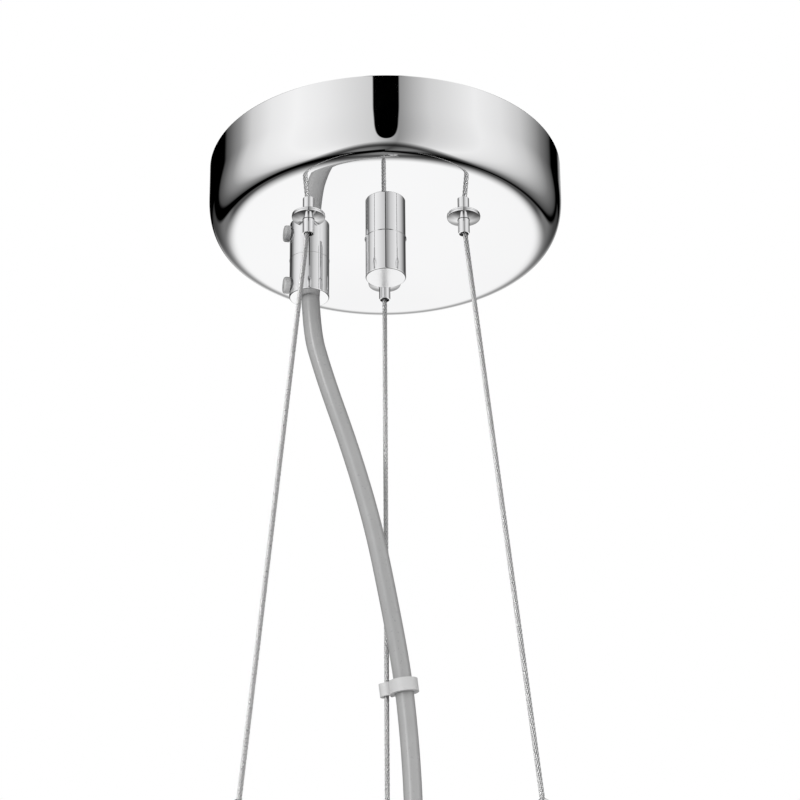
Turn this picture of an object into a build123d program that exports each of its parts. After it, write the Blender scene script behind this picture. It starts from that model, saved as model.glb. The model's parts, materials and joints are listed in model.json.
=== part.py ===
from build123d import *
import os
from math import cos, pi, radians, sin, sqrt, tan

# Ceiling canopy and suspension set of a cluster pendant, in millimetres.
# The ceiling is the plane z = 0, and everything hangs below it, round the canopy's axis.
# Seen from the front (-Y), the grippers sit near left, near right and far, and the cord
# leaves between the left one and the far one.

# Canopy shell: a drawn cup, open to the ceiling
canopy_radius = 60.0
canopy_height = 26.8
sheet_thickness = 1.0
edge_round = 10.0
rim_round = 0.3

# Where the fittings stand on the canopy's floor
fitting_circle = 30.0
gripper_angles = {"left": -150.0, "right": -30.0, "far": 90.0}
cord_angle = 150.0

# Threads are plain cylinders with a running clearance
m10_radius = 4.95
m8_radius = 3.95
m4_radius = 1.95
thread_clearance = 0.05
hole_clearance = 0.1
lock_nut_flats = 14.0
lock_nut_thickness = 3.0

# Crossbar that screws to the ceiling box, with its earth screw
bar_length = 104.0
bar_width = 19.0
bar_thickness = 2.0
bar_edge_round = 0.6
box_slot_spacing = 80.0
box_slot_length = 16.0
box_slot_width = 4.8
earth_screw_x = 22.0
earth_head_radius = 3.8
earth_head_height = 2.4
earth_washer_radius = 4.6
earth_washer_thickness = 0.6
driver_slot_width = 1.0
driver_slot_depth = 1.2

# Centre nipple and the cap nut that carries the canopy on it
nipple_bore_radius = 3.5
nipple_reach = 9.0
cap_nut_radius = 6.85
cap_nut_length = 15.1
cap_nut_bore_depth = 11.0
end_round = 0.4
end_chamfer = 0.5

# Wire grippers: domed flange, threaded barrel with a conical bore, and what works in it
flange_radius = 6.0
flange_rim = 0.9
dome_depth = 2.6
dome_mouth_radius = 2.4
dome_bulge = 0.22
guide_length = 1.6
cone_low_radius = 2.64
cone_high_radius = 3.2
cone_length = 6.2
barrel_length = 14.8
plunger_radius = 1.95
plunger_reach = 6.8
plunger_mouth_radius = 1.6
plunger_mouth_depth = 3.0
plunger_bore_radius = 1.0
collar_radius = 2.5
collar_height = 0.8
collar_top_height = 8.0
ball_radius = 1.0
ball_height = 3.8
ball_gap = 0.02
window_gap = 0.05
spring_radius = 2.2
spring_wire_radius = 0.22
spring_turns = 4
plug_length = 2.0
cap_rim = 0.8
gripper_nut_flats = 12.0
gripper_nut_thickness = 4.0
washer_radius = 7.0
washer_thickness = 0.8

# Suspension wires: a spare tail in the canopy, then taut and splayed outwards
wire_radius = 0.75
wire_splay = 6.2
wire_bend_depth = 2.7
wire_bend_radius = 12.0
wire_end_z = -243.0
tail_z = -4.5
tail_tip_z = -6.0
tail_bend_radius = 7.5
tail_sweep_radius = 12.0
tail_turns = {"left": (30.0, 56.0), "right": (30.0, 54.0), "far": (-30.0, -50.0)}
tail_circles = {"left": (33.0, 34.0), "right": (33.0, 34.0), "far": (34.0, 38.0)}

# Studs crimped on the wires' lower ends
sleeve_radius = 1.8
sleeve_length = 12.0
crimp_gap = 0.02
stud_flats = 5.5
stud_hex_length = 4.0
stud_length = 9.0

# Cord grip with its hollow nipple, and the plastic clamp screw in its side
grip_radius = 6.85
grip_length = 14.4
grip_bore_radius = 3.2
grip_socket_depth = 6.0
grip_nipple_bore_radius = 3.6
grip_nipple_top = 6.5
clamp_screw_height = 4.2
clamp_screw_angle = 190.0
clamp_seat_gap = 0.1
clamp_head_radius = 2.9
clamp_head_length = 2.1
clamp_head_round = 0.8
clamp_shank_radius = 1.95
clamp_slot_width = 0.8
clamp_slot_depth = 0.9

# Power cord: jacket, three cores, and its route from inside the canopy to the lamp's end
cord_radius = 3.1
core_radius = 1.2
core_circle = 1.45
core_angles = {"live": 150.0, "neutral": 30.0, "earth": 270.0}
jacket_top_z = -18.5
grip_x = fitting_circle * cos(radians(cord_angle))
grip_y = fitting_circle * sin(radians(cord_angle))
cord_route = [
    (grip_x, grip_y, jacket_top_z),
    (grip_x, grip_y, -51.0),
    (-20.8, 17.5, -70.0),
    (-11.8, 23.5, -95.0),
    (-4.3, 30.0, -120.0),
    (0.9, 36.5, -145.0),
    (5.2, 42.6, -168.0),
    (7.3, 45.2, -189.0),
    (8.4, 46.2, -209.0),
    (8.6, 46.0, -229.0),
    (9.0, 44.8, -248.0),
]

# Clip that ties the cord to the far wire: a split ring and a small split hook
clip_z = -172.5
clip_height = 4.4
clip_ring_outer = 4.85
clip_ring_inner = 3.25
clip_ring_gap = 3.4
clip_hook_outer = 2.5
clip_hook_inner = 1.35
clip_hook_gap = 1.3

# Gland at the lamp's end of the cord
gland_radius = 5.9
gland_length = 9.0
gland_grip_length = 5.0
gland_round = 1.5
gland_thread_length = 8.0
gland_throat_radius = 2.9
jacket_gap = 0.03
core_tail = 14.0
ferrule_length = 6.0
ferrule_radius = 0.7

# Terminal block on the canopy's floor, one pole for each core
block_x = 24.0
block_y = 12.5
block_width = 17.0
block_web_width = 10.0
block_height = 11.0
pole_pitch = 8.0
pole_gap = 0.6
pole_round = 0.8
pole_height = 5.5
pole_sleeve_radius = 2.4
pole_bore_radius = 1.6
pole_sleeve_inset = 1.2
terminal_screw_radius = 1.25
terminal_screw_length = 3.2
terminal_head_radius = 1.9
terminal_head_height = 1.2
terminal_slot_width = 0.6
terminal_well_radius = 2.0
terminal_screw_offset = 5.0
lead_entry = 1.0
lead_straight = 5.5
bare_core_length = 6.0
lead_rise_z = -7.0
lead_routes = {
    "live": [(-20.5, 22.0, -7.0), (2.0, 18.5, -11.0)],
    "neutral": [(-15.5, 14.5, -9.0), (2.0, 12.0, -13.0)],
    "earth": [(-19.0, 7.5, -9.0), (0.0, 9.0, -14.0)],
}

floor_bottom = -canopy_height
floor_top = floor_bottom + sheet_thickness
standing = (Align.CENTER, Align.CENTER, Align.MIN)
hanging = (Align.CENTER, Align.CENTER, Align.MAX)
os.makedirs("parts", exist_ok=True)


def place(angle, radius=fitting_circle):
    """The point at that angle on a circle round the canopy's axis."""
    return (radius * cos(radians(angle)), radius * sin(radians(angle)))


def upright(x, y):
    """A vertical plane through x, y, whose sketch X is the radius and sketch Y the height."""
    return Plane((x, y, 0), x_dir=(1, 0, 0), z_dir=(0, -1, 0))


def keep(builder, name):
    """Label a finished piece and write its STEP file."""
    builder.part.label = name
    export_step(builder.part, f"parts/{name}.step")


def turned(outline, x, y):
    """A closed outline of (radius, height) points, turned about the vertical axis at x, y."""
    with BuildPart() as piece:
        with BuildSketch(upright(x, y)):
            with BuildLine():
                Polyline(*outline, close=True)
            make_face()
        revolve(axis=Axis((x, y, 0), (0, 0, 1)))
    return piece


def hex_nut(x, y, low, flats, thickness, thread_radius, turn=0.0):
    """A hex nut standing on the height low, its corners chamfered at both ends."""
    corner = flats / 2 + 1.0
    shoulder = flats / 2 - 0.1
    slope = 0.7
    with BuildPart() as nut:
        with BuildSketch(Plane((x, y, low))):
            RegularPolygon(flats / 2, 6, major_radius=False, rotation=turn)
            Circle(thread_radius + thread_clearance, mode=Mode.SUBTRACT)
        extrude(amount=thickness)
        with BuildSketch(upright(x, y)):
            with BuildLine():
                Polyline(
                    (0, low), (shoulder, low), (corner, low + slope),
                    (corner, low + thickness - slope), (shoulder, low + thickness),
                    (0, low + thickness), close=True,
                )
            make_face()
        revolve(axis=Axis((x, y, 0), (0, 0, 1)), mode=Mode.INTERSECT)
    return nut


def tube(points, radii, radius):
    """A round tube along straight runs joined by tangent arcs of the given radii."""
    with BuildPart() as piece:
        with BuildLine() as route:
            FilletPolyline(*points, radius=radii)
        line = route.wires()[0]
        with BuildSketch(Plane(line @ 0, z_dir=line % 0)):
            Circle(radius)
        sweep(path=line)
    return piece, line


def corner_radii(points):
    """For each corner of a route, the largest arc that its two runs allow."""
    knots = [Vector(*point) for point in points]
    radii = []
    for before, corner, after in zip(knots, knots[1:], knots[2:]):
        come = corner - before
        go = after - corner
        half_turn = radians(come.get_angle(go)) / 2
        radii.append(0.45 * min(come.length, go.length) / tan(half_turn))
    return radii


# Ceiling side: crossbar, earth screw, centre nipple and its lock nut

with BuildPart() as mounting_crossbar:
    with BuildSketch():
        SlotOverall(bar_length, bar_width)
        with Locations((-box_slot_spacing / 2, 0), (box_slot_spacing / 2, 0)):
            SlotOverall(box_slot_length, box_slot_width, mode=Mode.SUBTRACT)
        Circle(m10_radius + thread_clearance, mode=Mode.SUBTRACT)
        with Locations((-earth_screw_x, 0), (earth_screw_x, 0)):
            Circle(m4_radius + thread_clearance, mode=Mode.SUBTRACT)
    extrude(amount=-bar_thickness)
    fillet(mounting_crossbar.faces().sort_by(Axis.Z)[0].outer_wire().edges(), bar_edge_round)
keep(mounting_crossbar, "mounting_crossbar")

nipple_bottom = floor_bottom - nipple_reach
with BuildPart() as centre_nipple:
    with BuildSketch(Plane.XY.offset(nipple_bottom)):
        Circle(m10_radius)
        Circle(nipple_bore_radius, mode=Mode.SUBTRACT)
    extrude(amount=-nipple_bottom)
    chamfer(centre_nipple.edges().filter_by(GeomType.CIRCLE).sort_by(SortBy.RADIUS)[-2:], end_chamfer)
keep(centre_nipple, "centre_nipple")

lock_nut_low = -bar_thickness - lock_nut_thickness
nipple_lock_nut = hex_nut(0, 0, lock_nut_low, lock_nut_flats, lock_nut_thickness, m10_radius)
keep(nipple_lock_nut, "nipple_lock_nut")

earth_head_low = -bar_thickness - earth_washer_thickness - earth_head_height
with BuildPart() as earth_screw:
    with Locations((earth_screw_x, 0, -bar_thickness)):
        Cylinder(m4_radius, bar_thickness, align=standing)
        Cylinder(earth_washer_radius, earth_washer_thickness, align=hanging)
    with Locations((earth_screw_x, 0, earth_head_low)):
        Cylinder(earth_head_radius, earth_head_height, align=standing)
    fillet(earth_screw.edges().filter_by(GeomType.CIRCLE).sort_by(Axis.Z)[0], earth_head_height / 2)
    with Locations((earth_screw_x, 0, earth_head_low)):
        for turn in (0, 90):
            Box(
                2 * earth_head_radius, driver_slot_width, driver_slot_depth,
                rotation=(0, 0, turn), align=standing, mode=Mode.SUBTRACT,
            )
keep(earth_screw, "earth_screw")

# Canopy shell and centre cap nut

inner_round = edge_round - sheet_thickness
inner_radius = canopy_radius - sheet_thickness
flat_radius = canopy_radius - edge_round
wall_low = floor_bottom + edge_round
gripper_places = [place(angle) for angle in gripper_angles.values()]
with BuildPart() as canopy_shell:
    with BuildSketch(Plane.XZ):
        with BuildLine():
            Line((0, floor_bottom), (flat_radius, floor_bottom))
            RadiusArc((flat_radius, floor_bottom), (canopy_radius, wall_low), -edge_round)
            Line((canopy_radius, wall_low), (canopy_radius, 0))
            Line((canopy_radius, 0), (inner_radius, 0))
            Line((inner_radius, 0), (inner_radius, wall_low))
            RadiusArc((inner_radius, wall_low), (flat_radius, floor_top), inner_round)
            Line((flat_radius, floor_top), (0, floor_top))
            Line((0, floor_top), (0, floor_bottom))
        make_face()
    revolve(axis=Axis.Z)
    fillet(canopy_shell.edges().filter_by(GeomType.CIRCLE).sort_by(Axis.Z)[-2:], rim_round)
    with BuildSketch(Plane.XY.offset(floor_bottom)):
        with Locations((0, 0), (grip_x, grip_y)):
            Circle(m10_radius + hole_clearance)
        with Locations(*gripper_places):
            Circle(m8_radius + hole_clearance)
    extrude(amount=sheet_thickness, mode=Mode.SUBTRACT)
keep(canopy_shell, "canopy_shell")

with BuildPart() as centre_cap_nut:
    with Locations((0, 0, floor_bottom)):
        Cylinder(cap_nut_radius, cap_nut_length, align=hanging)
    fillet(centre_cap_nut.edges().filter_by(GeomType.CIRCLE).sort_by(Axis.Z)[0], end_round)
    with Locations((0, 0, floor_bottom)):
        Cylinder(m10_radius + thread_clearance, cap_nut_bore_depth, align=hanging, mode=Mode.SUBTRACT)
keep(centre_cap_nut, "centre_cap_nut")

# Wire grippers, three alike

dome_mouth = floor_bottom - dome_depth
guide_radius = plunger_radius + thread_clearance
guide_top = floor_bottom + guide_length
cone_top = guide_top + cone_length
barrel_top = floor_bottom + barrel_length
ball_z = floor_bottom + ball_height
collar_top = floor_bottom + collar_top_height
collar_low = collar_top - collar_height
plug_low = barrel_top - plug_length
plug_radius = cone_high_radius - thread_clearance
plunger_low = floor_bottom - plunger_reach
mouth_top = plunger_low + plunger_mouth_depth


def make_gripper_body(x, y):
    """Domed flange under the canopy, threaded barrel above it, conical bore for the balls."""
    with BuildPart() as body:
        with BuildSketch(upright(x, y)):
            with BuildLine():
                Line((flange_radius, floor_bottom), (flange_radius, floor_bottom - flange_rim))
                SagittaArc(
                    (flange_radius, floor_bottom - flange_rim), (dome_mouth_radius, dome_mouth),
                    dome_bulge,
                )
                Polyline(
                    (dome_mouth_radius, dome_mouth),
                    (dome_mouth_radius, floor_bottom),
                    (guide_radius, floor_bottom),
                    (guide_radius, guide_top),
                    (cone_low_radius, guide_top),
                    (cone_high_radius, cone_top),
                    (cone_high_radius, barrel_top),
                    (m8_radius, barrel_top),
                    (m8_radius, floor_bottom),
                    (flange_radius, floor_bottom),
                )
            make_face()
        revolve(axis=Axis((x, y, 0), (0, 0, 1)))
    return body


def make_plunger(x, y, out_angle):
    """Release nozzle with a spring collar on top and three windows for the balls."""
    with BuildPart() as plunger:
        add(
            turned(
                [
                    (plunger_mouth_radius, plunger_low),
                    (plunger_radius, plunger_low),
                    (plunger_radius, collar_low),
                    (collar_radius, collar_low),
                    (collar_radius, collar_top),
                    (plunger_bore_radius, collar_top),
                    (plunger_bore_radius, mouth_top),
                    (plunger_mouth_radius, mouth_top),
                ],
                x, y,
            ).part
        )
        for third in (0, 120, 240):
            with BuildSketch(Plane((x, y, ball_z), z_dir=(*place(out_angle + third, 1), 0))):
                Circle(ball_radius + window_gap)
            extrude(amount=2 * plunger_radius, mode=Mode.SUBTRACT)
    return plunger


def make_balls(x, y, out_angle):
    """Three balls in the plunger's windows, a hair clear of the wire."""
    reach = wire_radius + ball_radius + ball_gap
    with BuildPart() as balls:
        for third in (0, 120, 240):
            dx, dy = place(out_angle + third, reach)
            with Locations((x + dx, y + dy, ball_z)):
                Sphere(ball_radius)
    return balls


def make_spring(x, y):
    """An open coil from the plunger's collar to the plug: one tube along tangent arcs."""
    low = collar_top + spring_wire_radius
    rise = (plug_low - spring_wire_radius - low) / (2 * spring_turns)
    slope = rise / (pi * spring_radius)

    def knot(half_turns):
        angle = 180.0 * half_turns
        point = Vector(x, y, low + rise * half_turns) + Vector(*place(angle, spring_radius), 0)
        return point, Vector(*place(angle + 90, 1), slope).normalized()

    with BuildPart() as spring:
        with BuildLine() as coil:
            for step in range(2 * spring_turns):
                start, leave = knot(step)
                end, arrive = knot(step + 1)
                across = end - start
                along = across.dot(leave + arrive)
                spread = 2 * (1 - leave.dot(arrive))
                reach = (sqrt(along**2 + spread * across.dot(across)) - along) / spread
                handle_out = start + leave * reach
                handle_in = end - arrive * reach
                middle = (handle_out + handle_in) * 0.5
                TangentArc(start, middle, tangent=leave)
                TangentArc(middle, end, tangent=handle_in - handle_out)
        line = coil.wires()[0]
        with BuildSketch(Plane(line @ 0, z_dir=line % 0)):
            Circle(spring_wire_radius)
        sweep(path=line)
    return spring


def make_gripper_cap(x, y):
    """Top plug that closes the barrel and backs the spring."""
    return turned(
        [
            (plunger_bore_radius, plug_low),
            (plug_radius, plug_low),
            (plug_radius, barrel_top),
            (m8_radius, barrel_top),
            (m8_radius, barrel_top + cap_rim),
            (plunger_bore_radius, barrel_top + cap_rim),
        ],
        x, y,
    )


def make_washer(x, y):
    """Flat washer on the canopy's floor, round a gripper's barrel."""
    hole = m8_radius + hole_clearance
    top = floor_top + washer_thickness
    return turned([(hole, floor_top), (washer_radius, floor_top), (washer_radius, top), (hole, top)], x, y)


spring_pitch = (plug_low - collar_top - 2 * spring_wire_radius) / spring_turns
print("spring, least gap between turns", round(spring_pitch - 2 * spring_wire_radius, 2), "mm")
wire_bend_z = floor_bottom - wire_bend_depth


def wire_point(angle, z):
    """A point on the straight, splayed part of a wire."""
    return (*place(angle, fitting_circle + (wire_bend_z - z) * tan(radians(wire_splay))), z)


def make_wire(side, angle):
    """Spare tail curling round the canopy, straight through the gripper, then taut to the lamp."""
    bend_circle, tip_circle = tail_circles[side]
    bend_turn, tip_turn = tail_turns[side]
    points = [
        (*place(angle + tip_turn, tip_circle), tail_tip_z),
        (*place(angle + bend_turn, bend_circle), tail_z),
        (*place(angle), tail_z),
        (*place(angle), wire_bend_z),
        wire_point(angle, wire_end_z),
    ]
    return tube(points, [tail_sweep_radius, tail_bend_radius, wire_bend_radius], wire_radius)[0]


def make_wire_stud(angle):
    """Crimped sleeve, hex collar and M4 stud, in line with the wire, which ends half way in."""
    end = Vector(*wire_point(angle, wire_end_z))
    back = (Vector(*wire_point(angle, 0)) - end).normalized()
    sleeve_low = end - back * (sleeve_length / 2)
    hex_low = sleeve_low - back * stud_hex_length
    with BuildPart() as stud:
        with BuildSketch(Plane(sleeve_low, z_dir=back)):
            Circle(sleeve_radius)
        extrude(amount=sleeve_length)
        chamfer(stud.edges().filter_by(GeomType.CIRCLE).sort_by(Axis.Z)[-1], end_chamfer)
        with BuildSketch(Plane(hex_low, z_dir=back)):
            RegularPolygon(stud_flats / 2, 6, major_radius=False)
        extrude(amount=stud_hex_length)
        with BuildSketch(Plane(hex_low, z_dir=-back)):
            Circle(m4_radius)
        extrude(amount=stud_length)
        chamfer(stud.edges().filter_by(GeomType.CIRCLE).sort_by(Axis.Z)[0], end_chamfer)
        with BuildSketch(Plane(end, z_dir=back)):
            Circle(wire_radius + crimp_gap)
        extrude(amount=sleeve_length, mode=Mode.SUBTRACT)
    return stud


for side, angle in gripper_angles.items():
    gripper_x, gripper_y = place(angle)
    keep(make_gripper_body(gripper_x, gripper_y), f"gripper_body_{side}")
    keep(make_plunger(gripper_x, gripper_y, angle), f"gripper_plunger_{side}")
    keep(make_balls(gripper_x, gripper_y, angle), f"gripper_balls_{side}")
    keep(make_spring(gripper_x, gripper_y), f"gripper_spring_{side}")
    keep(make_gripper_cap(gripper_x, gripper_y), f"gripper_cap_{side}")
    keep(make_wire(side, angle), f"suspension_wire_{side}")
    keep(make_wire_stud(angle), f"wire_stud_{side}")

nut_low = floor_top + washer_thickness
washer_parts = [make_washer(x, y).part for x, y in gripper_places]
nut_parts = [
    hex_nut(x, y, nut_low, gripper_nut_flats, gripper_nut_thickness, m8_radius).part
    for x, y in gripper_places
]
with BuildPart() as gripper_washers:
    add(washer_parts)
keep(gripper_washers, "gripper_washers")

with BuildPart() as gripper_nuts:
    add(nut_parts)
keep(gripper_nuts, "gripper_nuts")

# Cord grip: body, hollow nipple, lock nut and clamp screw

grip_bottom = floor_bottom - grip_length
socket_top = floor_bottom - grip_socket_depth
socket_radius = m10_radius + thread_clearance
outward = Vector(*place(clamp_screw_angle, 1), 0)
screw_axis_point = Vector(grip_x, grip_y, grip_bottom + clamp_screw_height)
screw_seat = screw_axis_point + outward * (grip_radius + clamp_seat_gap)
with BuildPart() as cord_grip_body:
    add(
        turned(
            [
                (socket_radius, floor_bottom),
                (grip_radius, floor_bottom),
                (grip_radius, grip_bottom),
                (grip_bore_radius, grip_bottom),
                (grip_bore_radius, socket_top),
                (socket_radius, socket_top),
            ],
            grip_x, grip_y,
        ).part
    )
    outer_rims = cord_grip_body.edges().filter_by(GeomType.CIRCLE).sort_by(SortBy.RADIUS)[-2:]
    fillet(outer_rims.sort_by(Axis.Z)[0], end_round)
    with BuildSketch(Plane(screw_axis_point, z_dir=outward)):
        Circle(clamp_shank_radius + thread_clearance)
    extrude(amount=2 * grip_radius, mode=Mode.SUBTRACT)
keep(cord_grip_body, "cord_grip_body")

grip_nipple_low = socket_top + thread_clearance
with BuildPart() as cord_grip_nipple:
    with BuildSketch(Plane((grip_x, grip_y, grip_nipple_low))):
        Circle(m10_radius)
        Circle(grip_nipple_bore_radius, mode=Mode.SUBTRACT)
    extrude(amount=floor_bottom + grip_nipple_top - grip_nipple_low)
keep(cord_grip_nipple, "cord_grip_nipple")

cord_grip_nut = hex_nut(
    grip_x, grip_y, floor_top, lock_nut_flats, lock_nut_thickness, m10_radius, turn=cord_angle
)
keep(cord_grip_nut, "cord_grip_nut")

with BuildPart() as cord_clamp_screw:
    with BuildSketch(Plane(screw_seat, z_dir=outward)):
        Circle(clamp_head_radius)
    extrude(amount=clamp_head_length)
    fillet(
        cord_clamp_screw.edges().sort_by(Axis((0, 0, 0), tuple(outward)))[-1],
        clamp_head_round,
    )
    with BuildSketch(Plane(screw_seat, z_dir=-outward)):
        Circle(clamp_shank_radius)
    extrude(amount=grip_radius + clamp_seat_gap - cord_radius - thread_clearance)
    slot_floor = screw_seat + outward * (clamp_head_length - clamp_slot_depth)
    with BuildSketch(Plane(slot_floor, x_dir=(0, 0, 1), z_dir=outward)):
        Rectangle(2 * clamp_head_radius, clamp_slot_width)
    extrude(amount=clamp_slot_depth, mode=Mode.SUBTRACT)
keep(cord_clamp_screw, "cord_clamp_screw")

# Power cord and the gland at its lamp end

cord_radii = corner_radii(cord_route)
power_cord, cord_line = tube(cord_route, cord_radii, cord_radius)
keep(power_cord, "power_cord")
print("power cord", round(cord_line.length, 1), "mm, radii", [round(radius) for radius in cord_radii])
straight_volume = pi * cord_radius**2 * cord_line.length
print("cord volume / (section x length)", round(power_cord.part.volume / straight_volume, 4))

cord_end = cord_line @ 1
cord_down = cord_line % 1
gland_top = cord_end - cord_down * gland_grip_length
gland_low = gland_top + cord_down * gland_length
with BuildPart() as cord_gland:
    with BuildSketch(Plane(gland_top, z_dir=cord_down)):
        Circle(gland_radius)
    extrude(amount=gland_length)
    fillet(cord_gland.edges().filter_by(GeomType.CIRCLE).sort_by(Axis.Z)[-1], gland_round)
    with BuildSketch(Plane(gland_low, z_dir=cord_down)):
        Circle(m10_radius)
    extrude(amount=gland_thread_length)
    chamfer(cord_gland.edges().filter_by(GeomType.CIRCLE).sort_by(Axis.Z)[0], end_chamfer)
    with BuildSketch(Plane(cord_end, z_dir=-cord_down)):
        Circle(cord_radius + jacket_gap)
    extrude(amount=gland_grip_length, mode=Mode.SUBTRACT)
    with BuildSketch(Plane(cord_end, z_dir=cord_down)):
        Circle(gland_throat_radius)
    extrude(amount=gland_length + gland_thread_length, mode=Mode.SUBTRACT)
keep(cord_gland, "cord_gland")

# The cord's three cores: up to the terminal block, and tails with ferrules at the lamp's end

pole_z = floor_top + pole_height
pole_rows = {"live": block_y + pole_pitch, "neutral": block_y, "earth": block_y - pole_pitch}
entry_x = block_x - block_width / 2 + lead_entry
lamp_end = Plane(cord_end, z_dir=cord_down)


def make_lead(core):
    """One core: a lead in the canopy, and its tail at the lamp's end."""
    dx, dy = place(core_angles[core], core_circle)
    row = pole_rows[core]
    points = [
        (grip_x + dx, grip_y + dy, jacket_top_z),
        (grip_x + dx, grip_y + dy, lead_rise_z),
        *lead_routes[core],
        (entry_x - lead_straight, row, pole_z),
        (entry_x, row, pole_z),
    ]
    radii = corner_radii(points)
    print(core, "lead radii", [round(radius, 1) for radius in radii])
    with BuildPart() as lead:
        add(tube(points, radii, core_radius)[0].part)
        with BuildSketch(Plane((entry_x, row, pole_z), z_dir=(1, 0, 0))):
            Circle(core_radius / 2)
        extrude(amount=bare_core_length)
        with BuildSketch(lamp_end):
            with Locations(place(core_angles[core], core_circle)):
                Circle(core_radius)
        extrude(amount=core_tail)
        with BuildSketch(lamp_end.offset(core_tail)):
            with Locations(place(core_angles[core], core_circle)):
                Circle(ferrule_radius)
        extrude(amount=ferrule_length)
    return lead


for core in core_angles:
    keep(make_lead(core), f"{core}_lead")

# Terminal block: plastic poles on a web, brass sleeves, and two screws for each pole

screw_places = [
    (block_x + step, row) for row in pole_rows.values() for step in (-terminal_screw_offset, terminal_screw_offset)
]
pole_planes = [Plane((block_x, row, pole_z), z_dir=(1, 0, 0)) for row in pole_rows.values()]
with BuildPart() as terminal_block:
    with BuildSketch(Plane((block_x, block_y, floor_top))):
        with GridLocations(0, pole_pitch, 1, 3):
            RectangleRounded(block_width, pole_pitch - pole_gap, pole_round)
        Rectangle(block_web_width, 2 * pole_pitch)
    extrude(amount=block_height)
    with BuildSketch(*pole_planes):
        Circle(pole_sleeve_radius + crimp_gap)
    extrude(amount=block_width / 2, both=True, mode=Mode.SUBTRACT)
    with BuildSketch(Plane.XY.offset(pole_z)):
        with Locations(*screw_places):
            Circle(terminal_well_radius)
    extrude(amount=block_height, mode=Mode.SUBTRACT)
keep(terminal_block, "terminal_block")

with BuildPart() as terminal_sleeves:
    with BuildSketch(*pole_planes):
        Circle(pole_sleeve_radius)
        Circle(pole_bore_radius, mode=Mode.SUBTRACT)
    extrude(amount=block_width / 2 - pole_sleeve_inset, both=True)
    with BuildSketch(Plane.XY.offset(pole_z)):
        with Locations(*screw_places):
            Circle(terminal_screw_radius + thread_clearance)
    extrude(amount=pole_sleeve_radius, mode=Mode.SUBTRACT)
keep(terminal_sleeves, "terminal_sleeves")

screw_tip_z = pole_z + core_radius / 2 + thread_clearance
head_low = screw_tip_z + terminal_screw_length
with BuildPart() as terminal_screws:
    with BuildSketch(Plane.XY.offset(screw_tip_z)):
        with Locations(*screw_places):
            Circle(terminal_screw_radius)
    extrude(amount=terminal_screw_length)
    with BuildSketch(Plane.XY.offset(head_low)):
        with Locations(*screw_places):
            Circle(terminal_head_radius)
    extrude(amount=terminal_head_height)
    with BuildSketch(Plane.XY.offset(head_low + terminal_head_height / 2)):
        with Locations(*screw_places):
            Rectangle(2 * terminal_head_radius, terminal_slot_width)
    extrude(amount=terminal_head_height, mode=Mode.SUBTRACT)
keep(terminal_screws, "terminal_screws")

# Clip: the ring's and the hook's gaps face backwards, away from the front

route_steps = [cord_line @ (step / 500) for step in range(501)]
clip_centre = min(route_steps, key=lambda point: abs(point.Z - clip_z))
cord_lean = -(cord_line % cord_line.param_at_point(clip_centre))
wire_there = Vector(*wire_point(gripper_angles["far"], clip_centre.Z))
to_wire = wire_there - clip_centre
to_wire = to_wire - cord_lean * to_wire.dot(cord_lean)
hook_distance = to_wire.length
with BuildPart() as cord_clip:
    with BuildSketch(Plane(clip_centre, x_dir=tuple(to_wire), z_dir=tuple(cord_lean))):
        Circle(clip_ring_outer)
        with Locations((hook_distance, 0)):
            Circle(clip_hook_outer)
            Circle(clip_hook_inner, mode=Mode.SUBTRACT)
        Circle(clip_ring_inner, mode=Mode.SUBTRACT)
        with Locations((0, -clip_ring_outer)):
            Rectangle(clip_ring_gap, clip_ring_outer, mode=Mode.SUBTRACT)
        with Locations((hook_distance, -clip_hook_outer)):
            Rectangle(clip_hook_gap, clip_hook_outer, mode=Mode.SUBTRACT)
    extrude(amount=clip_height / 2, both=True)
keep(cord_clip, "cord_clip")
print("clip at", [round(value, 1) for value in clip_centre], "wire", round(hook_distance, 2), "mm away")
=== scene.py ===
import json
from math import ceil, cos, pi, radians, sin, tan

import bmesh
import bpy
from mathutils import Matrix, Vector, geometry

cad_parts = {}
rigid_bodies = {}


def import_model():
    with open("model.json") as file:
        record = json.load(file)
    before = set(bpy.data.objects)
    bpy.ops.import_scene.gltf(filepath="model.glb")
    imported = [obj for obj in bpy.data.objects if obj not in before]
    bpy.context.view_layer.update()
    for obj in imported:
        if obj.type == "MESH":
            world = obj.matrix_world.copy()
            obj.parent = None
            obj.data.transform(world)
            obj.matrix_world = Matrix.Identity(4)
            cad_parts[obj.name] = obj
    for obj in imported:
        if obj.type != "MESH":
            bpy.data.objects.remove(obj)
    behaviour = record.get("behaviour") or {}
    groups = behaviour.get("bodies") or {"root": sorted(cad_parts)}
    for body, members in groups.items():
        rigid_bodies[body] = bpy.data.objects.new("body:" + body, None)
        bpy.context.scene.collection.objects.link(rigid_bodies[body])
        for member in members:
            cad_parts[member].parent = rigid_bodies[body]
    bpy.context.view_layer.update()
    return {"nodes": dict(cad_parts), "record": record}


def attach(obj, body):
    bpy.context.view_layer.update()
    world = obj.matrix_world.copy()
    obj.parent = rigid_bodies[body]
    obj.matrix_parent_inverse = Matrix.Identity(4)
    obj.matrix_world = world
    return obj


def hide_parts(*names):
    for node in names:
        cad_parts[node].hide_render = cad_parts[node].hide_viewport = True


# The ceiling canopy of a cluster pendant, with its taut wires and its cord, under the ceiling z = 0.
# Lengths are in metres. The photograph is 800 by 800 pixels.

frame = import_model()
nodes = frame["nodes"]
scene = bpy.context.scene
mm = 0.001
sides = {"left": -150, "right": -30, "far": 90}

# Camera: where the photograph was taken from

camera = {
    "place": (-0.013126, -0.887868, -0.548923),
    "right": (0.99984685, -0.0153892, -0.00833396),
    "up": (0.00030984, -0.46056136, 0.88762781),
    "back": (-0.01749818, -0.88749445, -0.46048606),
    "focalPixels": 3031,
    "framePixels": 800,
    "sensorMm": 36,
}


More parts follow.
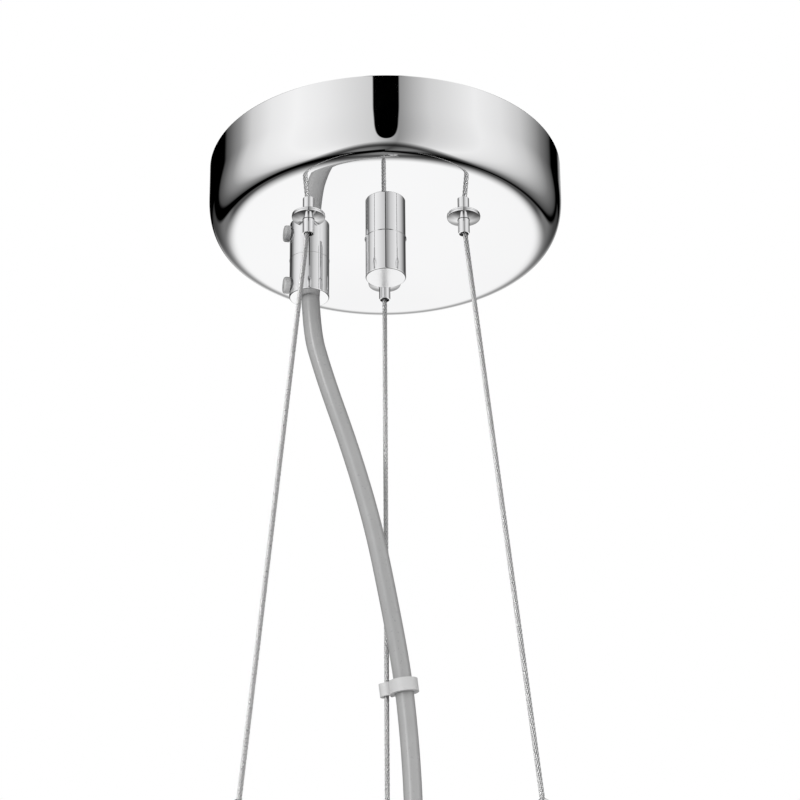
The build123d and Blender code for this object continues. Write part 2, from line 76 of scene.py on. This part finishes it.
def makeCamera():
    data = bpy.data.cameras.new("photoCamera")
    data.sensor_width = camera["sensorMm"]
    data.lens = camera["focalPixels"] / camera["framePixels"] * camera["sensorMm"]
    data.clip_start = 0.01
    obj = bpy.data.objects.new("photoCamera", data)
    axes = Matrix((camera["right"], camera["up"], camera["back"])).transposed()
    obj.matrix_world = Matrix.Translation(camera["place"]) @ axes.to_4x4()
    scene.collection.objects.link(obj)
    scene.camera = obj


makeCamera()
print("camera made")

# Materials, one for each slot of the record

finishes = {
    "mirror_chrome": {"color": (0.94, 0.94, 0.945), "metal": 1, "rough": (0.0, 0.03), "grain": 60, "bump": 0.001},
    "zinc_steel": {"color": (0.62, 0.63, 0.65), "metal": 1, "rough": (0.24, 0.42), "grain": 350, "bump": 0.05},
    "steel": {"color": (0.68, 0.68, 0.69), "metal": 1, "rough": (0.12, 0.22), "grain": 500, "bump": 0.02},
    "wire_rope": {"color": (0.58, 0.58, 0.58), "metal": 1, "rough": (0.24, 0.36), "grain": 1500, "bump": 0.06},
    "brass": {"color": (0.80, 0.58, 0.26), "metal": 1, "rough": (0.22, 0.36), "grain": 400, "bump": 0.04},
    "grey_pvc": {"color": (0.32, 0.32, 0.32), "metal": 0, "rough": (0.26, 0.36), "grain": 900, "bump": 0.08},
    "grey_nylon": {"color": (0.50, 0.50, 0.50), "metal": 0, "rough": (0.40, 0.55), "grain": 700, "bump": 0.04},
    "clear_nylon": {"color": (0.48, 0.48, 0.48), "metal": 0, "rough": (0.16, 0.26), "grain": 500, "bump": 0.03},
    "white_plastic": {"color": (0.80, 0.79, 0.75), "metal": 0, "rough": (0.36, 0.50), "grain": 600, "bump": 0.03},
    "live_brown": {"color": (0.16, 0.06, 0.025), "metal": 0, "rough": (0.34, 0.46), "grain": 900, "bump": 0.03},
    "neutral_blue": {"color": (0.03, 0.13, 0.45), "metal": 0, "rough": (0.34, 0.46), "grain": 900, "bump": 0.03},
    "earth_stripe": {"color": (0.62, 0.58, 0.05), "metal": 0, "rough": (0.34, 0.46), "grain": 900, "bump": 0.03},
}

grainLook = {"low": 0.3, "high": 0.7, "detail": 4, "cloud": 6, "shade": 0.96, "bumpDepth": 0.1 * mm}
endFacing = -0.95


def makeFinish(name, look):
    material = bpy.data.materials.new(name)
    material.use_nodes = True
    tree = material.node_tree
    shader = tree.nodes["Principled BSDF"]
    shader.inputs["Metallic"].default_value = look["metal"]
    place = tree.nodes.new("ShaderNodeTexCoord")
    grain = tree.nodes.new("ShaderNodeTexNoise")
    grain.inputs["Scale"].default_value = look["grain"]
    grain.inputs["Detail"].default_value = grainLook["detail"]
    tree.links.new(place.outputs["Object"], grain.inputs["Vector"])
    rough = tree.nodes.new("ShaderNodeMapRange")
    rough.inputs["From Min"].default_value = grainLook["low"]
    rough.inputs["From Max"].default_value = grainLook["high"]
    rough.inputs["To Min"].default_value = look["rough"][0]
    rough.inputs["To Max"].default_value = look["rough"][1]
    tree.links.new(grain.outputs["Fac"], rough.inputs["Value"])
    roughness = rough.outputs["Result"]
    if "endRough" in look:
        # the turned end face, seen from below, has a satin finish
        facing = tree.nodes.new("ShaderNodeSeparateXYZ")
        tree.links.new(tree.nodes.new("ShaderNodeNewGeometry").outputs["Normal"], facing.inputs["Vector"])
        below = tree.nodes.new("ShaderNodeMath")
        below.operation = "LESS_THAN"
        below.inputs[1].default_value = endFacing
        tree.links.new(facing.outputs["Z"], below.inputs[0])
        satin = tree.nodes.new("ShaderNodeMath")
        satin.operation = "MULTIPLY_ADD"
        satin.inputs[1].default_value = look["endRough"]
        tree.links.new(below.outputs["Value"], satin.inputs[0])
        tree.links.new(roughness, satin.inputs[2])
        roughness = satin.outputs["Value"]
    tree.links.new(roughness, shader.inputs["Roughness"])
    cloud = tree.nodes.new("ShaderNodeTexNoise")
    cloud.inputs["Scale"].default_value = look["grain"] / grainLook["cloud"]
    tree.links.new(place.outputs["Object"], cloud.inputs["Vector"])
    shade = tree.nodes.new("ShaderNodeValToRGB")
    dark, light = shade.color_ramp.elements
    dark.position, light.position = grainLook["low"], grainLook["high"]
    dark.color = (*[grainLook["shade"] * part for part in look["color"]], 1)
    light.color = (*look["color"], 1)
    tree.links.new(cloud.outputs["Fac"], shade.inputs["Fac"])
    tree.links.new(shade.outputs["Color"], shader.inputs["Base Color"])
    bump = tree.nodes.new("ShaderNodeBump")
    bump.inputs["Strength"].default_value = look["bump"]
    bump.inputs["Distance"].default_value = grainLook["bumpDepth"]
    tree.links.new(grain.outputs["Fac"], bump.inputs["Height"])
    tree.links.new(bump.outputs["Normal"], shader.inputs["Normal"])
    return material


materials = {name: makeFinish(name, look) for name, look in finishes.items()}
nutChrome = makeFinish("nutChrome", {**finishes["mirror_chrome"], "endRough": 0.16})


def dress(obj, slotName):
    obj.data.materials.clear()
    obj.data.materials.append(materials[slotName])
    return obj


for row in frame["record"]["subparts"]:
    dress(nodes[row["node"]], row["material_slot"])
nodes["centre_cap_nut"].data.materials[0] = nutChrome
print("materials made")

# Cords: the routes are those of the solids, as control points of a smooth line


def around(angle, radius, z):
    return (radius * mm * cos(radians(angle)), radius * mm * sin(radians(angle)), z * mm)


def routeCurve(name, points):
    data = bpy.data.curves.new(name, "CURVE")
    data.dimensions = "3D"
    data.resolution_u = 24
    spline = data.splines.new("NURBS")
    spline.points.add(len(points) - 1)
    for knot, point in zip(spline.points, points):
        knot.co = (*point, 1)
    spline.order_u = 3
    spline.use_endpoint_u = True
    obj = bpy.data.objects.new(name, data)
    scene.collection.objects.link(obj)
    return obj


def meshObject(name, corners, faces):
    mesh = bpy.data.meshes.new(name)
    mesh.from_pydata(corners, [], faces)
    mesh.update()
    for face in mesh.polygons:
        face.use_smooth = True
    obj = bpy.data.objects.new(name, mesh)
    scene.collection.objects.link(obj)
    return obj


powerCord = {
    "diameter": 6.2 * mm,
    "length": 0.237,
    "exit": around(150, 30, -41.2),
    "route": [
        around(150, 30, -18.5),
        around(150, 30, -51.0),
        (-0.0208, 0.0175, -0.0700),
        (-0.0118, 0.0235, -0.0950),
        (-0.0043, 0.0300, -0.1200),
        (0.0009, 0.0365, -0.1450),
        (0.0052, 0.0426, -0.1680),
        (0.0073, 0.0452, -0.1890),
        (0.0084, 0.0462, -0.2090),
        (0.0086, 0.0460, -0.2290),
        (0.0090, 0.0448, -0.2480),
    ],
}


def makePowerCord():
    obj = routeCurve("powerCord", powerCord["route"])
    obj.data.bevel_depth = powerCord["diameter"] / 2
    obj.data.bevel_resolution = 10
    obj.data.use_fill_caps = True
    dress(obj, "grey_pvc")
    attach(obj, "canopy")
    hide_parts("power_cord")


makePowerCord()

wire = {
    "diameter": 1.5 * mm,
    "circle": 30,
    "splay": 6.2,
    "bendZ": -29.5,
    "endZ": -243.0,
    "tailZ": -4.5,
    "tipZ": -6.0,
    "capTop": -11.2,
    "nearBend": 9,
    "tails": {"left": (30, 33, 56, 34), "right": (30, 33, 54, 34), "far": (-30, 34, -50, 38)},
    "strands": 6,
    "fullness": 1.12,
    "lay": 10 * mm,
    "strandLay": 4 * mm,
    "wiresInStrand": 6,
    "ring": 0.45 * mm,
    # rings left off the spare end, which brings it within 30 mm of the gripper's top
    "tailCut": 4,
    "length": 0.265,
    "strandSides": 18,
    "lobe": 0.16,
}


def wirePoint(angle, z):
    reach = wire["circle"] + (wire["bendZ"] - z) * tan(radians(wire["splay"]))
    return around(angle, reach, z)


def wireRoute(side):
    angle = sides[side]
    bendTurn, bendCircle, tipTurn, tipCircle = wire["tails"][side]
    axis = wire["circle"]
    return [
        around(angle + tipTurn, tipCircle, wire["tipZ"]),
        around(angle + bendTurn, bendCircle, wire["tailZ"]),
        around(angle, axis, wire["tailZ"]),
        around(angle, axis, wire["tailZ"] - wire["nearBend"]),
        around(angle, axis, wire["bendZ"] + wire["nearBend"]),
        around(angle, axis, wire["bendZ"]),
        wirePoint(angle, wire["bendZ"] - wire["nearBend"]),
        wirePoint(angle, wire["endZ"]),
    ]


def evenLine(points, step):
    # the smooth line through a route, with points about step apart
    guide = routeCurve("guide", points)
    bare = bpy.data.meshes.new_from_object(guide)
    line = [corner.co.copy() for corner in bare.vertices]
    bpy.data.meshes.remove(bare)
    bpy.data.curves.remove(guide.data)
    along = [0]
    for before, after in zip(line, line[1:]):
        along.append(along[-1] + (after - before).length)
    count = ceil(along[-1] / step)
    even, here = [], 0
    for number in range(count + 1):
        wanted = along[-1] * number / count
        while here < len(line) - 2 and along[here + 1] < wanted:
            here += 1
        span = max(along[here + 1] - along[here], 1e-12)
        even.append(line[here].lerp(line[here + 1], (wanted - along[here]) / span))
    return even


def twistFreeAxes(line):
    # two axes across the line at each point, carried along it without twist
    heading = (line[1] - line[0]).normalized()
    across = heading.orthogonal().normalized()
    axes = []
    for number, point in enumerate(line):
        ahead = line[min(number + 1, len(line) - 1)] - line[max(number - 1, 0)]
        turned = heading.rotation_difference(ahead.normalized())
        heading = ahead.normalized()
        across = turned @ across
        axes.append((across.copy(), heading.cross(across)))
    return axes


def makeRope(side):
    line = evenLine(wireRoute(side), wire["ring"])[wire["tailCut"]:]
    axes = twistFreeAxes(line)
    # a core strand and six round it, all of one thickness
    strandRadius = wire["diameter"] / 6 * wire["fullness"]
    strandCircle = wire["diameter"] / 3 * wire["fullness"]
    corners, faces = [], []
    for strand in range(wire["strands"] + 1):
        offset = strandCircle if strand else 0
        for number, (point, (u, v)) in enumerate(zip(line, axes)):
            along = number * wire["ring"]
            turn = 2 * pi * (strand / wire["strands"] + along / wire["lay"])
            middle = point + (u * cos(turn) + v * sin(turn)) * offset
            for corner in range(wire["strandSides"]):
                angle = 2 * pi * corner / wire["strandSides"]
                lobes = cos(wire["wiresInStrand"] * angle)
                radius = strandRadius * (1 + wire["lobe"] * (lobes - 1))
                angle -= 2 * pi * along / wire["strandLay"]
                corners.append(middle + (u * cos(angle) + v * sin(angle)) * radius)
        first = strand * len(line) * wire["strandSides"]
        for ring in range(len(line) - 1):
            for corner in range(wire["strandSides"]):
                a = first + ring * wire["strandSides"] + corner
                b = first + ring * wire["strandSides"] + (corner + 1) % wire["strandSides"]
                faces.append((a, b, b + wire["strandSides"], a + wire["strandSides"]))
        last = first + (len(line) - 1) * wire["strandSides"]
        faces.append(tuple(range(first + wire["strandSides"] - 1, first - 1, -1)))
        faces.append(tuple(range(last, last + wire["strandSides"])))
    obj = dress(meshObject(f"wireRope_{side}", corners, faces), "wire_rope")
    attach(obj, "canopy")
    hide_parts(f"suspension_wire_{side}")


for side in sides:
    makeRope(side)
print("cords made")

# Turned pieces: a smooth outline, given as radius and height in millimetres, spun round its own axis

turning = {"segments": 192, "sharpAngle": 35, "weld": 0.002 * mm}


def ringOf(x, y, z, radius, count):
    return [Vector((
        (x + radius * cos(2 * pi * step / count)) * mm,
        (y + radius * sin(2 * pi * step / count)) * mm, z * mm,
    )) for step in range(count)]


def turnedPiece(name, outline, slotName, body, x=0, y=0, closed=True, replaced=()):
    count = turning["segments"]
    corners = [corner for radius, z in outline for corner in ringOf(x, y, z, radius, count)]
    rings = len(outline) if closed else len(outline) - 1
    faces = []
    for ring in range(rings):
        first, second = ring * count, (ring + 1) % len(outline) * count
        for step in range(count):
            after = (step + 1) % count
            faces.append((first + step, first + after, second + after, second + step))
    obj = dress(meshObject(name, corners, faces), slotName)
    finishMesh(obj)
    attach(obj, body)
    if replaced:
        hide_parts(*replaced)
    return obj


def finishMesh(obj):
    shape = bmesh.new()
    shape.from_mesh(obj.data)
    bmesh.ops.remove_doubles(shape, verts=shape.verts, dist=turning["weld"])
    bmesh.ops.recalc_face_normals(shape, faces=shape.faces)
    shape.to_mesh(obj.data)
    shape.free()
    obj.data.set_sharp_from_angle(angle=radians(turning["sharpAngle"]))


def softCorner(centre, wide, high, power, start, stop, steps):
    # part of a rounded corner whose curve starts and ends without a jump
    points = []
    for number in range(steps + 1):
        turn = start + (stop - start) * number / steps
        across, down = abs(sin(turn)) ** (2 / power), abs(cos(turn)) ** (2 / power)
        points.append((centre[0] + wide * across, centre[1] - high * down))
    return points


# Canopy shell: the drawn cup, with the rounding that its mirror finish shows

canopy = {
    "radius": 60,
    "floorZ": -26.8,
    "sheet": 1.0,
    "cornerWide": 10.5,
    "cornerHigh": 15,
    "cornerPower": 2.6,
    "rim": 0.3,
    "rimStep": 0.1,
    "floorEdge": 46,
    "fittingCircle": 30,
    "gripAngle": 150,
    "wideHole": 5.05,
    "gripperHole": 4.05,
    "cornerSteps": 64,
    "holeSteps": 64,
    "holeEdge": 0.999,
}


def fitting(angle):
    # the middle of a fitting on the fixing circle, in millimetres
    return canopy["fittingCircle"] * cos(radians(angle)), canopy["fittingCircle"] * sin(radians(angle))


def makeCanopy():
    radius, sheet, low = canopy["radius"], canopy["sheet"], canopy["floorZ"]
    wide, high, power = canopy["cornerWide"], canopy["cornerHigh"], canopy["cornerPower"]
    middle = (radius - wide, low + high)
    steps = canopy["cornerSteps"]
    outer = softCorner(middle, wide, high, power, 0, pi / 2, steps)
    inner = softCorner(middle, wide - sheet, high - sheet, power, pi / 2, 0, steps)
    rim, rimStep = canopy["rim"], canopy["rimStep"]
    bend = [(0, -rim - rimStep), (0, -rim), (rimStep, -rimStep), (rim, 0)]
    lip = [(radius - across, z) for across, z in bend]
    lip += [(radius - sheet + across, z) for across, z in reversed(bend)]
    outline = [(canopy["floorEdge"], low)] + outer + lip + inner + [(canopy["floorEdge"], low + sheet)]
    obj = turnedPiece("canopyShell", outline, "mirror_chrome", "canopy", closed=False, replaced=["canopy_shell"])

    # the flat floor of the cup, with its holes
    holes = [(0, 0, canopy["wideHole"]), (*fitting(canopy["gripAngle"]), canopy["wideHole"])]
    holes += [(*fitting(angle), canopy["gripperHole"]) for angle in sides.values()]
    shape = bmesh.new()
    shape.from_mesh(obj.data)
    rings = [ringOf(0, 0, 0, canopy["floorEdge"], turning["segments"])]
    rings += [ringOf(*hole[:2], 0, hole[2], canopy["holeSteps"]) for hole in holes]
    flat = [point.to_2d() for ring in rings for point in ring]
    edges, start = [], 0
    for ring in rings:
        edges += [(start + n, start + (n + 1) % len(ring)) for n in range(len(ring))]
        start += len(ring)
    points, _, faces, _, _, _ = geometry.delaunay_2d_cdt(flat, edges, [], 0, 1e-9)

    def inHole(spot):
        return any((spot - Vector((x, y)) * mm).length < hole * mm * canopy["holeEdge"] for x, y, hole in holes)

    levels = []
    for z in (low, low + sheet):
        corners = [shape.verts.new((*point, z * mm)) for point in points]
        levels.append(corners)
        for face in faces:
            spot = sum((points[n] for n in face), Vector((0, 0))) / len(face)
            if not inHole(spot):
                shape.faces.new([corners[n] for n in face])
    start = turning["segments"]
    for ring in rings[1:]:
        for n in range(len(ring)):
            a, b = start + n, start + (n + 1) % len(ring)
            shape.faces.new((levels[0][a], levels[0][b], levels[1][b], levels[1][a]))
        start += len(ring)
    shape.to_mesh(obj.data)
    shape.free()
    for face in obj.data.polygons:
        face.use_smooth = True
    finishMesh(obj)


makeCanopy()
print("canopy made")

# Wire grippers: flange under the canopy, barrel above it

gripper = {
    "radius": 5.55,
    "rim": 0.5,
    "fillet": 0.18,
    "slopeEdge": 17,
    "slopeMiddle": 9,
    "steps": 12,
    "rimRing": 0.05,
    "mouth": 2.15,
    "bore": [(2.0, 0), (2.0, 1.6), (2.64, 1.6), (3.2, 7.8), (3.2, 14.8), (3.95, 14.8), (3.95, 0)],
}


def makeGripper(side):
    x, y = fitting(sides[side])
    z = canopy["floorZ"]
    edge, fillet, steps = gripper["radius"] - gripper["fillet"], gripper["fillet"], gripper["steps"]
    outline = [(gripper["radius"], 0), (gripper["radius"], -gripper["rim"] + gripper["rimRing"])]
    for step in range(steps + 1):
        turn = radians(90 - gripper["slopeEdge"]) * step / steps
        outline.append((edge + fillet * cos(turn), -gripper["rim"] - fillet * sin(turn)))
    first = outline[-1][0]
    for step in range(steps):
        share = (step + 0.5) / steps
        slope = radians(gripper["slopeEdge"] * (1 - share) + gripper["slopeMiddle"] * share)
        across = (first - gripper["mouth"]) / steps
        outline.append((outline[-1][0] - across, outline[-1][1] - across * tan(slope)))
    outline += [(gripper["mouth"], 0)] + gripper["bore"]
    turnedPiece(
        f"gripperBody_{side}", [(radius, z + height) for radius, height in outline], "mirror_chrome", "canopy",
        x, y, replaced=[f"gripper_body_{side}"],
    )


for side in sides:
    makeGripper(side)
print("grippers made")

# Thin bevelled rings where the fittings meet the canopy: each mirrors the dark floor, a fine dark line

seams = {
    "nutSeam": {"x": 0, "y": 0, "radius": 6.85, "wide": 0.26, "high": 0.2, "body": "cap_nut"},
    "gripSeam": {"x": -25.981, "y": 15, "radius": 6.85, "wide": 0.09, "high": 0.07, "body": "canopy"},
}
for side, angle in sides.items():
    x, y = fitting(angle)
    seams[f"flangeSeam_{side}"] = {
        "x": x, "y": y, "radius": gripper["radius"], "wide": 0.08, "high": 0.06, "body": "canopy",
    }
seamInside = 0.2
seamFoot = 0.02


def makeSeam(name, look):
    top, radius = canopy["floorZ"], look["radius"]
    low = top - look["high"]
    inside = radius - seamInside
    outline = [(inside, top), (radius + look["wide"], top), (radius - seamFoot, low), (inside, low)]
    turnedPiece(name, outline, "mirror_chrome", look["body"], look["x"], look["y"])


for name, look in seams.items():
    makeSeam(name, look)

# Studio: what the chrome mirrors, what lights the rest, and a white background

studio = {
    # brightness by azimuth in front of the canopy: a softbox on each side
    "front": [
        (-135, 0), (-122, 0.13), (-110, 0.3), (-98, 0.64), (-80, 0.86), (-60, 0.95), (-40, 0.87), (-8, 0.65),
        (8, 0.29), (18, 0.49), (28, 0.66), (60, 0.9), (80, 0.8), (98, 0.61), (122, 0.19), (138, 0.03),
    ],
    # the black gap between the softboxes: half width, where it starts to narrow and where it ends
    "gap": {"half": 0.123, "soft": 0.06, "from": 12, "to": -33},
    # brightness by elevation of the backdrop, beside and behind
    "backSide": [
        (-34, 0.08), (-28, 0.18), (-19, 0.18), (-13, 0.15), (-5, 0.1), (5, 0.06), (14, 0.05), (21, 0.02),
    ],
    "backMiddle": [
        (-28, 1.0), (-24, 1.0), (-19, 0.77), (-13, 0.47), (-5, 0.33), (5, 0.62), (14, 0.86), (21, 0.83),
    ],
    "middleFrom": 152,
    "middleTo": 178,
    "topZ": 21,
    "topLight": 0.44,
    "topLeft": (165, 179),
    "topRight": (154, 166),
    # the dark joint between softboxes and backdrop, left and right
    "joint": {"shift": (0.023, 0.115), "half": (0.096, 0.021), "soft": 0.1, "blend": 0.02},
    # the dark floor below, brightness by distance from its middle
    "floor": [(0, 0.15), (0.35, 0.24), (0.6, 0.2), (0.8, 0.05), (1.0, 0.16), (1.2, 0.6), (1.34, 1.0), (2.1, 1.0)],
    "floorWide": 0.318,
    "floorDeep": (0.617, 0.56),
    "floorShift": 0.014,
    "ambientFront": 1.3,
    "ambientBack": 0.2,
    "ambientBlend": 0.6,
    "floorZ": -1.6,
    "floorSize": 30,
    "floorColor": (0.86, 0.86, 0.86),
    "floorRough": 0.9,
}


def makeWorld():
    world = bpy.data.worlds.new("studio")
    scene.world = world
    world.use_nodes = True
    tree = world.node_tree
    tree.nodes.clear()

    def link(value, socket):
        if isinstance(value, (int, float)):
            socket.default_value = value
        else:
            tree.links.new(value, socket)

    def calc(operation, *values):
        node = tree.nodes.new("ShaderNodeMath")
        node.operation = operation
        for value, socket in zip(values, node.inputs):
            link(value, socket)
        return node.outputs["Value"]

    def spread(value, low, high, smooth=False):
        node = tree.nodes.new("ShaderNodeMapRange")
        node.interpolation_type = "SMOOTHSTEP" if smooth else "LINEAR"
        for part, name in zip((value, low, high), ("Value", "From Min", "From Max")):
            link(part, node.inputs[name])
        return node.outputs["Result"]

    def ramp(value, stops):
        low, high = stops[0][0], stops[-1][0]
        node = tree.nodes.new("ShaderNodeValToRGB")
        bands = node.color_ramp.elements
        while len(bands) < len(stops):
            bands.new(0.5)
        for band, (place, brightness) in zip(bands, stops):
            band.position = (place - low) / (high - low)
            band.color = (brightness, brightness, brightness, 1)
        tree.links.new(spread(value, low, high), node.inputs["Fac"])
        return node.outputs["Color"]

    def mix(share, first, second):
        return calc("ADD", calc("MULTIPLY", calc("SUBTRACT", 1, share), first), calc("MULTIPLY", share, second))

    place = tree.nodes.new("ShaderNodeTexCoord")
    split = tree.nodes.new("ShaderNodeSeparateXYZ")
    tree.links.new(place.outputs["Generated"], split.inputs["Vector"])
    x, y, z = (split.outputs[name] for name in "XYZ")
    toDegrees = 180 / pi
    azimuth = calc("MULTIPLY", calc("ARCTAN2", x, calc("MULTIPLY", y, -1)), toDegrees)
    sideways = calc("ABSOLUTE", azimuth)
    elevation = calc("MULTIPLY", calc("ARCSINE", z), toDegrees)
    onRight = calc("GREATER_THAN", x, 0)
    inFront = calc("LESS_THAN", y, 0)

    gap = studio["gap"]
    ending = spread(elevation, gap["from"], gap["to"])
    width = calc("SQRT", calc("SUBTRACT", 1.0001, calc("MULTIPLY", ending, ending)))
    across = calc("DIVIDE", calc("ABSOLUTE", x), gap["half"])
    clear = spread(across, calc("SUBTRACT", width, gap["soft"]), calc("ADD", width, gap["soft"]), True)
    clear = calc("MAXIMUM", clear, calc("LESS_THAN", elevation, gap["to"]))
    front = calc("MULTIPLY", ramp(azimuth, studio["front"]), mix(inFront, 1.0, clear))

    beside, middle = ramp(elevation, studio["backSide"]), ramp(elevation, studio["backMiddle"])
    behind = mix(spread(sideways, studio["middleFrom"], studio["middleTo"], True), beside, middle)
    top = calc("ADD", spread(azimuth, *studio["topRight"], True),
               spread(calc("MULTIPLY", azimuth, -1), *studio["topLeft"], True))
    top = calc("MULTIPLY", top, studio["topLight"])
    behind = mix(calc("GREATER_THAN", elevation, studio["topZ"]), behind, top)

    joint = studio["joint"]
    fromJoint = calc("SUBTRACT", calc("SUBTRACT", y, calc("ABSOLUTE", x)), mix(onRight, *joint["shift"]))
    half = mix(onRight, *joint["half"])
    bright = spread(calc("ABSOLUTE", fromJoint), half, calc("ADD", half, joint["soft"]), True)
    room = calc("MULTIPLY", mix(spread(fromJoint, -joint["blend"], joint["blend"]), front, behind), bright)

    wide = calc("DIVIDE", x, studio["floorWide"])
    deep = calc("DIVIDE", calc("SUBTRACT", y, studio["floorShift"]), mix(inFront, *studio["floorDeep"]))
    fromFloor = calc("SQRT", calc("ADD", calc("MULTIPLY", wide, wide), calc("MULTIPLY", deep, deep)))
    floor = mix(calc("LESS_THAN", z, 0), 1.0, ramp(fromFloor, studio["floor"]))
    room = calc("MULTIPLY", room, floor)

    rays = tree.nodes.new("ShaderNodeLightPath")
    blend = studio["ambientBlend"]
    ambient = mix(spread(y, -blend, blend, True), studio["ambientFront"], studio["ambientBack"])
    light = mix(rays.outputs["Is Glossy Ray"], ambient, room)
    light = mix(rays.outputs["Is Camera Ray"], light, 1.0)
    shine = tree.nodes.new("ShaderNodeBackground")
    tree.links.new(light, shine.inputs["Color"])
    out = tree.nodes.new("ShaderNodeOutputWorld")
    tree.links.new(shine.outputs["Background"], out.inputs["Surface"])


def makeFloor():
    half = studio["floorSize"] / 2
    low = studio["floorZ"]
    corners = [(-half, -half, low), (half, -half, low), (half, half, low), (-half, half, low)]
    obj = meshObject("paleFloor", corners, [(0, 1, 2, 3)])
    paint = bpy.data.materials.new("paleFloor")
    paint.use_nodes = True
    shader = paint.node_tree.nodes["Principled BSDF"]
    shader.inputs["Base Color"].default_value = (*studio["floorColor"], 1)
    shader.inputs["Roughness"].default_value = studio["floorRough"]
    obj.data.materials.append(paint)
    obj.visible_glossy = False


lamps = {
    # a strip on the left and a weaker one on the right; the chrome doesn't mirror them
    "leftStrip": {"azimuth": -36, "height": 0.35, "distance": 1.6, "size": (0.16, 1.5), "watts": 15},
    "rightStrip": {"azimuth": 70, "height": 0.1, "distance": 1.6, "size": (0.5, 1.4), "watts": 3},
}


def makeLamps():
    lit = bpy.data.collections.new("litByStrips")
    for obj in scene.objects:
        worn = obj.data.materials if obj.type in ("MESH", "CURVE") else []
        if any(material not in (materials["mirror_chrome"], nutChrome) for material in worn):
            lit.objects.link(obj)
    for name, lamp in lamps.items():
        data = bpy.data.lights.new(name, "AREA")
        data.shape = "RECTANGLE"
        data.size, data.size_y = lamp["size"]
        data.energy = lamp["watts"]
        obj = bpy.data.objects.new(name, data)
        turn = radians(lamp["azimuth"])
        spot = Vector((sin(turn) * lamp["distance"], -cos(turn) * lamp["distance"], lamp["height"]))
        obj.matrix_world = Matrix.Translation(spot) @ spot.to_track_quat("Z", "Y").to_matrix().to_4x4()
        obj.light_linking.receiver_collection = lit
        scene.collection.objects.link(obj)


makeWorld()
makeFloor()
makeLamps()
scene.view_settings.view_transform = "Standard"
print("studio made")
